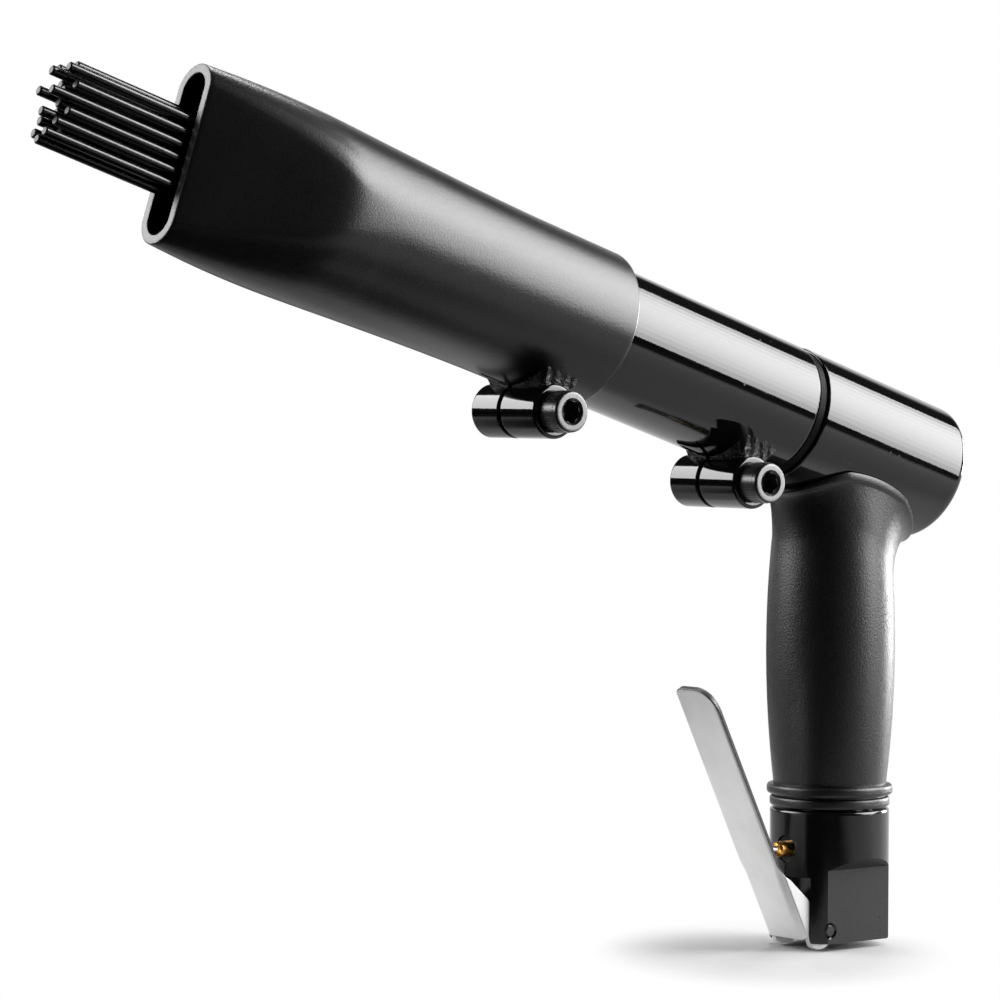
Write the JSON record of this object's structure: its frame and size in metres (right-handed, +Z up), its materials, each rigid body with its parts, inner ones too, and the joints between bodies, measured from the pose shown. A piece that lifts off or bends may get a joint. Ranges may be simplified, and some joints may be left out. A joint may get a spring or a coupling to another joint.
{
  "type": "pneumatic needle scaler",
  "caption": "Pistol-grip pneumatic needle scaler: flattened needle tube on split clamps, piston striker, rubber grip and a sprung throttle lever that opens an inlet valve.",
  "frame": {"origin": "mouth of the air inlet, centre of the valve body's underside", "axes": "+Z up the handle, -X the way the barrel points, -Y the tool's left side with the screw heads"},
  "size_m": [0.3573, 0.0527, 0.282],
  "materials": {
    "gloss_black": "gloss black coat on a light alloy casting",
    "gloss_black_tube": "gloss black coat on steel tube",
    "black_oxide": "satin black oxide",
    "screw_black": "black oxide",
    "grip_rubber": "matte moulded rubber",
    "seal_rubber": "smooth rubber",
    "lever_steel": "satin pressed steel",
    "needle_steel": "dark drawn steel with bright ends",
    "steel": "machined",
    "dark_steel": "hardened",
    "brass": "machined"
  },
  "bodies": {
    "tool": {"rear_head": "gloss_black", "head_seal": "seal_rubber", "valve_case": "dark_steel", "valve_disc": "steel", "cylinder": "steel", "anvil_bush": "brass", "seam_ring": "seal_rubber", "housing_tube": "gloss_black_tube", "housing_screw": "screw_black", "spring_seat": "dark_steel", "return_spring": "steel", "grip": "grip_rubber", "valve_body": "gloss_black", "inlet_bush": "steel", "inlet_strainer": "brass", "valve_seat": "brass", "valve_spring": "steel", "valve_bush": "brass", "stem_seal": "seal_rubber", "lever_pin": "steel"},
    "nozzle": {"needle_tube": "black_oxide", "needle_tube_screw": "screw_black"},
    "striker": {"piston": "steel"},
    "needle_pack": {"anvil": "dark_steel", "needle_holder": "dark_steel", "needles": "needle_steel"},
    "lever": {"throttle_lever": "lever_steel"},
    "throttle_pin": {"valve_stem": "steel"},
    "ball_valve": {"push_pin": "steel", "valve_ball": "steel"}
  },
  "joints": [
    {"name": "lever_squeeze", "type": "hinge", "parent": "tool", "child": "lever", "pos_m": [-0.0125, 0, 0.0045], "axis": [0, 1, 0], "range_deg": [0, 10], "stiffness_Nm_per_rad": 2, "springref_deg": -6.88},
    {"name": "stem_push", "type": "slide", "parent": "tool", "child": "throttle_pin", "axis": [1, 0, 0], "range_m": [0, 0.006]},
    {"name": "ball_drop", "type": "slide", "parent": "tool", "child": "ball_valve", "axis": [0, 0, -1], "range_m": [0, 0.0022], "deforming": ["valve_spring"]},
    {"name": "piston_stroke", "type": "slide", "parent": "tool", "child": "striker", "axis": [-0.9521, 0, 0.3057], "range_m": [0, 0.03]},
    {"name": "needle_strike", "type": "slide", "parent": "tool", "child": "needle_pack", "axis": [-0.9521, 0, 0.3057], "range_m": [0, 0.008], "stiffness_N_per_m": 900, "springref_m": -0.004},
    {"name": "nozzle_set", "type": "slide", "parent": "tool", "child": "nozzle", "axis": [-0.9521, 0, 0.3057], "range_m": [-0.02, 0.012]}
  ],
  "couplings": [
    {"joint": "stem_push", "follows": "lever_squeeze", "m_per_rad": 0.034},
    {"joint": "ball_drop", "follows": "lever_squeeze", "m_per_rad": 0.0119}
  ]
}
